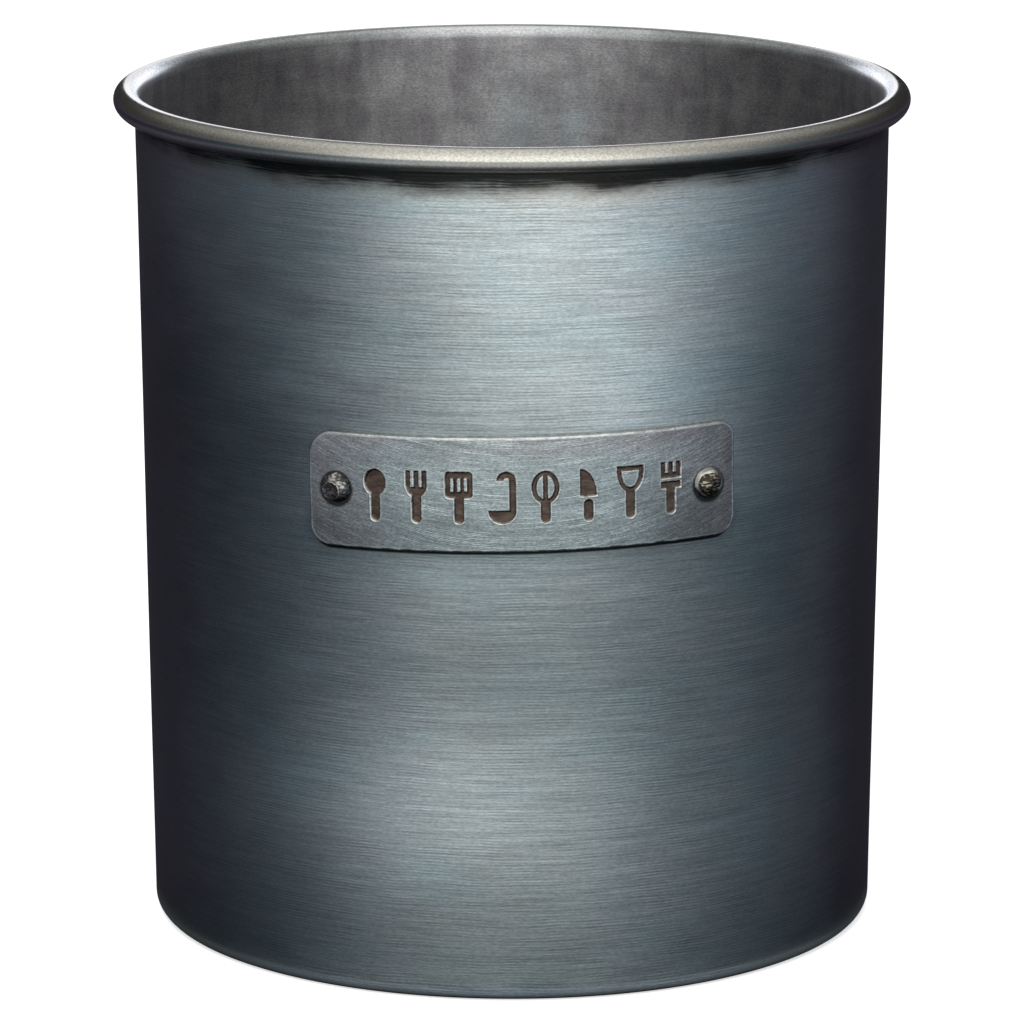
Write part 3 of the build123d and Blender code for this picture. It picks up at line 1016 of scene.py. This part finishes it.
def bead_colour(position, roll, speck):
    """The bead: neutral and finely speckled, with a painted white highlight line in front and painted shade
    low down.
    """
    across, depth, _ = parts(position)
    # Painted shade in bands low on the bead, with a lighter strip between them
    painted_band = span(roll, 5.5, 5.72, 1.0, 0.5) * span(roll, 5.95, 6.4, 1.0, 2.2)
    painted_band = painted_band * span(roll, 6.6, 7.5, 1.0, 0.25)
    colour = shaded((0.70, 0.69, 0.645), speck * 0.30 + 0.85, painted_band)
    # Painted highlight: a thin white line along the bead's top in front
    in_front = span(depth, 0.01, -0.01) * span(abs(across), 0.0, 0.02, 0.6, 1.0)
    painted_glint = span(roll, 2.1, 2.4) * span(roll, 3.35, 3.0)
    return tint(painted_glint * in_front, colour, rgb(1.0, 1.0, 1.0))


def can_material():
    """Antique steel: fine brushing round the can under a patina, with a bead and an inner side of their own.

    roll_place tells the bead from the rest: it is the distance in millimetres round the roll's middle line
    from where the roll begins, so that 2.9 is its top and 5.8 its outermost point. The crest has painted
    shade at the back.
    """
    material, tree, position = new_material("antique_brushed_steel")
    along = fact(tree, "along")
    inner = fact(tree, "inner_side")
    roll = fact(tree, "roll_place")
    across, depth, _ = parts(position)
    lines = brushing(position, along, 0.012, 0.00052)
    grain = brushing(position, along, 0.0009, 0.0003)
    small = blotches(position, 0.011, 7.0)
    teal = blotches(position, 0.028, 21.0)
    speck = blotches(position, 0.0005, 5.0)
    bead = span(roll, 2.0, 2.4)
    at_back = span(depth, 0.022, 0.048)
    sharp = span(roll, -0.7, 1.2)
    shoulder = at_back * (span(roll, -0.9, 2.2) - sharp) + sharp
    strong = span(abs(across), 0.020, 0.052, 1.0, 0.5)
    outside = wall_colour(position, lines, grain, small, teal, speck, strong)
    inside = inside_colour(position, roll, at_back, shoulder, lines, small, teal, speck)
    colour = tint(bead, tint(inner, outside, inside), bead_colour(position, roll, speck))
    # Painted shade along the crest at the back
    crest = span(roll, 2.1, 2.7) * span(roll, 4.5, 3.6)
    colour = shaded(colour, 1.0 - crest * at_back * 0.7)
    rough = small * 0.05 + 0.29 + inner * 0.26 - shoulder * 0.34 - bead * 0.03
    height = (grain * 0.3 + lines) * (1.0 - bead * 0.9) * strong * (1.0 - inner * 0.6)
    finish_metal(colour, rough, height, bump_distance=0.000005, anisotropic=0.4)
    return material


def plate_material():
    """The plate's steel: sweeping fine scratches, brown patina towards its ends, and bright worn edges.

    The stamped recesses keep a dull brown floor, with a painted shadow under each tool's upper left edge
    and a painted highlight along its lower edges. Painted shadow lies round the rivets' heads, and painted
    shade darkens the face low down and towards its right end.
    """
    material, tree, position = new_material("stamped_steel")
    sheet = fact(tree, "on_plate", "Vector")
    sign = fact(tree, "from_sign")
    along, up, _ = parts(sheet)
    bow = along * along * -3.0
    swept = up + bow
    fine = brushing(sheet, swept, 0.006, 0.00020)
    scratch = brushing(sheet, bow * 1.4 + swept, 0.016, 0.00030)
    cloud = blotches(position, 0.02, 4.0)
    chip = blotches(position, 0.0015, 1.0)
    speck = blotches(position, 0.0005, 6.0)
    tone = (chip * 0.12 + (cloud * 0.3 + 0.3)).held()
    steel = tint(tone, rgb(0.20, 0.235, 0.245), rgb(0.49, 0.56, 0.57))
    aged = tint(tone, rgb(0.175, 0.16, 0.165), rgb(0.46, 0.43, 0.44))
    ends = span(abs(along), 0.018, 0.036)
    top_band = span(up, 0.003, 0.009) * span(cloud, 0.2, 0.8, 0.4, 1.0)
    face = tint(calc("MAXIMUM", ends * 0.75, top_band * 0.8), steel, aged)
    # Painted light and shade: lighter at the top, darker low down and towards the right end
    lower = span(up, -0.009, 0.008, 0.74, 1.14)
    right = span(along, 0.012, 0.036, 1.0, 0.78)
    scratch_shade = span(scratch, 0.62, 0.88, 0.94, 1.65)
    face = shaded(face, lower, right, (fine * 0.84 + 0.58) * (speck * 0.55 + 0.72), scratch_shade)
    # Painted shadow round each rivet's head, set a little below it
    for arc, lift in ((-RIVET_REACH, RIVET_RISE), (RIVET_REACH, -RIVET_RISE)):
        offset = vector_calc("SUBTRACT", sheet, (arc * MM, (lift - 0.4) * MM, 0.0))
        reach = vector_calc("LENGTH", vector_calc("MULTIPLY", offset, (1.0, 1.0, 0.0)))
        face = shaded(face, span(reach, 0.0028, 0.0034, 0.15, 1.0))
    worn = span(fact(tree, "from_outline"), 0.62, 0.34) * (chip * 0.6 + 0.4)
    worn = worn * span(up, -0.0094, -0.0080, 0.3, 1.0)
    face = tint(worn * 0.85, face, rgb(0.86, 0.88, 0.88))
    near_sign = span(abs(sign - 0.06), 0.2, 0.05)
    face = tint(near_sign * span(chip, 0.2, 0.65, 0.2, 0.8), face, rgb(0.74, 0.74, 0.72))
    recess = span(sign, -0.04, -0.14)
    floor_blotch = blotches(position, 0.002, 9.0)
    floor = tint(floor_blotch, rgb(0.094, 0.066, 0.055), rgb(0.185, 0.138, 0.114))
    # Painted shadow on the floor under each tool's upper left edge
    floor = shaded(floor, 1.0 - fact(tree, "overhang") * 0.93)
    # Painted highlight along the tools' lower edges
    lit = fact(tree, "lit_edge") * span(chip, 0.1, 0.6, 0.45, 1.0)
    colour = tint(lit, tint(recess, face, floor), rgb(1.0, 0.97, 0.92))
    rough = recess * 0.22 + 0.38 - worn * 0.14
    finish_metal(colour, rough, fine + scratch * 0.5, bump_distance=0.000008, anisotropic=0.3)
    return material


def rivet_material(name, dark, bright, floor, fleck, roughness, pitted):
    """Hammered rivet metal: bright where the hammer struck, dark and dull between.

    The flat that was struck last has its own floor colour with flecks, and is rougher. Painted shade darkens
    the head's lower part.
    """
    material, tree, position = new_material(name)
    grain = blotches(position, 0.0012, 3.0)
    fleck_grain = blotches(position, 0.0007, 8.0)
    pits = span(blotches(position, 0.0007, 4.0), 0.3, 0.6) * pitted
    mask = span(grain * 0.16 + fact(tree, "worn_down"), 0.02, 0.25) * (1.0 - pits)
    beyond = fact(tree, "from_flat")
    flat = span(beyond, -0.05, -0.2)
    edge = span(abs(beyond), 0.16, 0.04)
    spotted = tint(span(fleck_grain, 0.5, 0.9), floor, fleck)
    colour = tint(edge * 0.8, tint(flat, tint(mask, dark, bright), spotted), bright)
    up = parts(fact(tree, "on_rivet", "Vector"))[1]
    # Painted shade: darker towards the head's lower part
    colour = shaded(colour, span(up, -0.0007, -0.0021, 1.0, 0.15))
    rough = grain * 0.1 + roughness + flat * 0.15
    finish_metal(colour, rough, fleck_grain * flat * 2.0 + grain, bump_distance=0.00002)
    return material


def wire_material():
    """Plain drawn wire, with faint marks along it."""
    material, _, position = new_material("drawn_wire")
    marks = brushing(position, parts(position)[2], 0.02, 0.0002)
    colour = tint(marks, rgb(0.22, 0.21, 0.20), rgb(0.42, 0.41, 0.39))
    finish_metal(colour, marks * 0.1 + 0.35, marks, bump_distance=0.00001)
    return material


# Studio

def background_rays(tree):
    """One for rays that see the background as it is: from the camera, or off or through the object."""
    camera, glossy, through = [
        put(tree, "LightPath", output=f"Is {kind} Ray") for kind in ("Camera", "Glossy", "Transmission")
    ]
    return calc("MAXIMUM", calc("MAXIMUM", camera, glossy), through)


def make_world():
    """Plain white background, and a softer level for the light that it gives."""
    world = bpy.data.worlds.new("studio")
    bpy.context.scene.world = world
    tree = new_tree(world)
    strength = span(background_rays(tree), 0.0, 1.0, WORLD_LIGHT, 1.0)
    light = put(tree, "Background", {"Color": rgb(1, 1, 1), "Strength": strength})
    put(tree, "OutputWorld", {0: light})


def make_stage(name, points, faces, material):
    """A piece of the studio, in metres, that isn't part of the object."""
    mesh = bpy.data.meshes.new(name)
    mesh.from_pydata(points.reshape(-1, 3).tolist(), [], faces.tolist())
    mesh.materials.append(material)
    piece = bpy.data.objects.new(name, mesh)
    bpy.context.scene.collection.objects.link(piece)
    return piece


def make_floor():
    """White table: it takes the object's shadow, and adds enough of its own white to show as white."""
    material = bpy.data.materials.new("white_table")
    tree = new_tree(material)
    matt = put(tree, "BsdfDiffuse", {"Color": rgb(0.8, 0.8, 0.8)})
    glow = background_rays(tree) * TABLE_WHITE
    white = put(tree, "Emission", {"Color": rgb(1, 1, 1), "Strength": glow})
    put(tree, "OutputMaterial", {0: put(tree, "AddShader", {0: matt, 1: white})})
    corners = np.array([(-1, -1, 0), (1, -1, 0), (1, 1, 0), (-1, 1, 0)]) * TABLE_REACH
    table = make_stage("table", corners, np.array([[0, 1, 2, 3]]), material)
    table.visible_glossy = False


def glowing(name, colour, tints=()):
    """Plain light, as strong as its mesh's level attribute says.

    Each of tints is an attribute and the colour that the light turns to where it is one.
    """
    material = bpy.data.materials.new(name)
    tree = new_tree(material)
    for key, other in tints:
        colour = tint(fact(tree, key), colour, other)
    light = put(tree, "Emission", {"Color": colour, "Strength": fact(tree, "level")})
    put(tree, "OutputMaterial", {0: light})
    material.cycles.emission_sampling = "NONE"
    return material


def only_reflected(piece, values):
    """Gives a studio piece its light levels, and hides it from all but the reflections."""
    for key, value in values.items():
        layer = piece.data.attributes.new(key, "FLOAT", "POINT")
        layer.data.foreach_set("value", value.ravel().astype(np.float32))
    for ray in ("camera", "diffuse", "transmission", "volume_scatter", "shadow"):
        setattr(piece, "visible_" + ray, False)


def make_back_card():
    """White card close behind the can, which shows in the front rim's top and in the inside's shoulders.

    Its light is a mix of one run of levels up its middle and another up its ends.
    """
    heights = [0.0, 0.06, 0.12, 0.145, 0.155, 0.18, 0.195, 0.205, 0.24, 0.30]
    x, z = np.meshgrid(np.linspace(-CARD_REACH, CARD_REACH, 35), heights)
    points = np.stack([x, np.full(x.shape, CARD_PLACE), z], -1)
    faces = grid_faces(np.arange(x.size).reshape(x.shape))
    card = make_stage("back_card", points, faces, glowing("card_light", rgb(0.98, 0.98, 1.04)))
    middle = np.interp(z, [0.145, 0.155, 0.18, 0.205, 0.24], [0.1, 1.3, 1.4, 1.5, 0.25])
    end_heights = [0.0, 0.12, 0.155, 0.18, 0.195, 0.205, 0.24]
    end = np.interp(z, end_heights, [0.35, 0.65, 0.95, 1.0, 1.1, 1.1, 0.25])
    share = np.interp(np.abs(x), [0.012, 0.036], [0, 1])
    only_reflected(card, {"level": middle + share * (end - middle)})


def make_table_glow():
    """The lit table close round the foot, as reflections see it: brightest in front, and dark under the can.

    Its level falls off as one over (one plus the cube of the turn from the front over 36 degrees).
    """
    columns = 96
    turn = np.arange(columns) * 2 * math.pi / columns
    radius, turn = np.meshgrid(np.linspace(GLOW_INNER, GLOW_OUTER, 6), turn, indexing="ij")
    points = np.stack([radius * np.sin(turn), -radius * np.cos(turn), np.full(radius.shape, GLOW_LIFT)], -1)
    faces = ring_faces(radius.shape[0], columns)
    ring = make_stage("table_glow", points, faces, glowing("table_light", rgb(0.9, 0.98, 1.06)))
    away = np.abs(np.degrees(np.arctan2(np.sin(turn), np.cos(turn))))
    level = 1.05 * (1 / (1 + (away / 36) ** 3) + 0.02)
    level = level * np.interp(radius, [GLOW_INNER, 0.065, 0.0675, GLOW_OUTER], [0.1, 1, 1, 0])
    only_reflected(ring, {"level": level})


def tent_strength(turn, rise):
    """What the reflection tent gives off, by the turn from the front and the rise, both in degrees.

    Low in front it is a pale table top that darkens towards the can, and its light slants a little. High in
    front it is a wide soft window that reaches over the top. The sides are black cards.
    """
    centre = np.clip(2 + 1.7 * (rise + 15.2), -6, 10)
    away = turn - centre
    falling = (np.abs(away) / 48) ** np.where(away > 0, 3.3, 3.5)
    stops = [-90, -60, -45, -35, -25, -18, -8, -2, 4]
    table = np.interp(rise, stops, [0.02, 0.03, 0.08, 0.25, 0.75, 1.06, 1.12, 1.1, 0.0]) / (1 + falling)
    roof = np.interp(rise, [18, 26, 44, 58, 75, 90], [0.0, 0.04, 0.24, 0.48, 0.72, 0.76])
    front = 1 / (1 + (np.abs(turn) / 46) ** 3.5)
    window = np.interp(rise, [-2, 4, 13, 27, 43, 61, 90], [0.0, 1.0, 1.3, 1.3, 1.15, 0.92, 0.76])
    return table + roof + front * np.maximum(window - roof, 0) + 0.015 - 0.007 * np.sin(np.radians(turn))


def make_tent():
    """A large sphere that only reflections see. It stands for the soft window, the table and dark cards."""
    columns, rows = 144, 91
    turn = np.linspace(-180, 180, columns, endpoint=False)
    turns, rises = np.meshgrid(turn, np.linspace(-89.9, 89.9, rows))
    way, lift = np.radians(turns + CAMERA_TURN), np.radians(rises)
    points = np.stack([np.cos(lift) * np.sin(way), -np.cos(lift) * np.cos(way), np.sin(lift)], -1)
    tints = [
        ("side", rgb(0.80, 0.98, 1.20)),
        ("far", rgb(1.08, 0.98, 1.36)),
        ("high", rgb(1.0, 0.985, 0.94)),
    ]
    material = glowing("tent_light", rgb(0.96, 1.0, 1.01), tints)
    tent = make_stage("tent", TENT_RADIUS * points, ring_faces(rows, columns), material)
    values = {
        "level": tent_strength(turns, rises),
        "side": np.clip((np.abs(turns) - 20) / 70, 0, 1),
        "far": np.clip((np.abs(turns) - 90) / 35, 0, 1),
        "high": np.clip(rises / 12, 0, 1),
    }
    only_reflected(tent, values)


def add_lamp(name, place, target, size, watts, colour):
    """Square soft lamp that faces a target. Reflections don't see it, as the tent stands for it there."""
    lamp = bpy.data.lights.new(name, "AREA")
    lamp.size = size
    lamp.energy = watts
    lamp.color = colour
    thing = bpy.data.objects.new(name, lamp)
    thing.location = place
    way = np.array(target) - np.array(place)
    flat = math.hypot(way[0], way[1])
    thing.rotation_euler = (math.atan2(flat, -way[2]), 0, math.atan2(-way[0], way[1]))
    thing.visible_glossy = False
    bpy.context.scene.collection.objects.link(thing)


def make_camera():
    """Camera at the photograph's place, level, looking a little down."""
    data = bpy.data.cameras.new("camera")
    data.lens = CAMERA_LENS
    data.sensor_width = CAMERA_SENSOR
    camera = bpy.data.objects.new("camera", data)
    turn = math.radians(CAMERA_TURN)
    camera.location = (CAMERA_DISTANCE * math.sin(turn), -CAMERA_DISTANCE * math.cos(turn), CAMERA_HEIGHT)
    camera.rotation_euler = (math.radians(90 - CAMERA_PITCH), 0, turn)
    bpy.context.scene.collection.objects.link(camera)
    bpy.context.scene.camera = camera


# Scene

def dress(piece, material):
    """Gives a piece one material, in place of any that it has, and the root to ride if it rides nothing."""
    piece.data.materials.clear()
    piece.data.materials.append(material)
    if not body_of(piece):
        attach(piece, "root")


def dress_rivets():
    """The two rivets: the left one dark and much struck, the right one bright, with one broad patch."""
    names = ("rivet_peened", "rivet_left", "rivet_dark")
    left = make_rivet(*names, -RIVET_REACH, RIVET_RISE, LEFT_FLATS, dints=22, mark=LEFT_MARK, lip=0.14)
    dark, bright = rgb(0.07, 0.07, 0.075), rgb(0.58, 0.57, 0.55)
    floor, fleck = rgb(0.07, 0.065, 0.07), rgb(0.20, 0.19, 0.19)
    dress(left, rivet_material("rivet_dark", dark, bright, floor, fleck, roughness=0.3, pitted=0.9))
    names = ("rivet_hammered", "rivet_right", "rivet_bright")
    right = make_rivet(*names, RIVET_REACH, -RIVET_RISE, RIGHT_FLATS, dints=5, mark=RIGHT_MARK, lip=0.03)
    dark, bright = rgb(0.92, 0.90, 0.86), rgb(1.0, 0.99, 0.96)
    floor, fleck = rgb(0.055, 0.048, 0.040), rgb(0.52, 0.48, 0.38)
    dress(right, rivet_material("rivet_bright", dark, bright, floor, fleck, roughness=0.12, pitted=0.1))


make_camera()
dress(make_can(), can_material())
dress(make_front_plate(), plate_material())
dress_rivets()
dress(frame["nodes"]["rim_wire"], wire_material())
make_world()
make_floor()
make_tent()
make_back_card()
make_table_glow()
lamp_place, lamp_target = (-0.15, -1.0, 1.1), (0, 0, 0.07)
add_lamp("window", lamp_place, lamp_target, size=0.9, watts=18.0, colour=(1.0, 0.985, 0.96))

bpy.context.scene.view_settings.view_transform = "Standard"
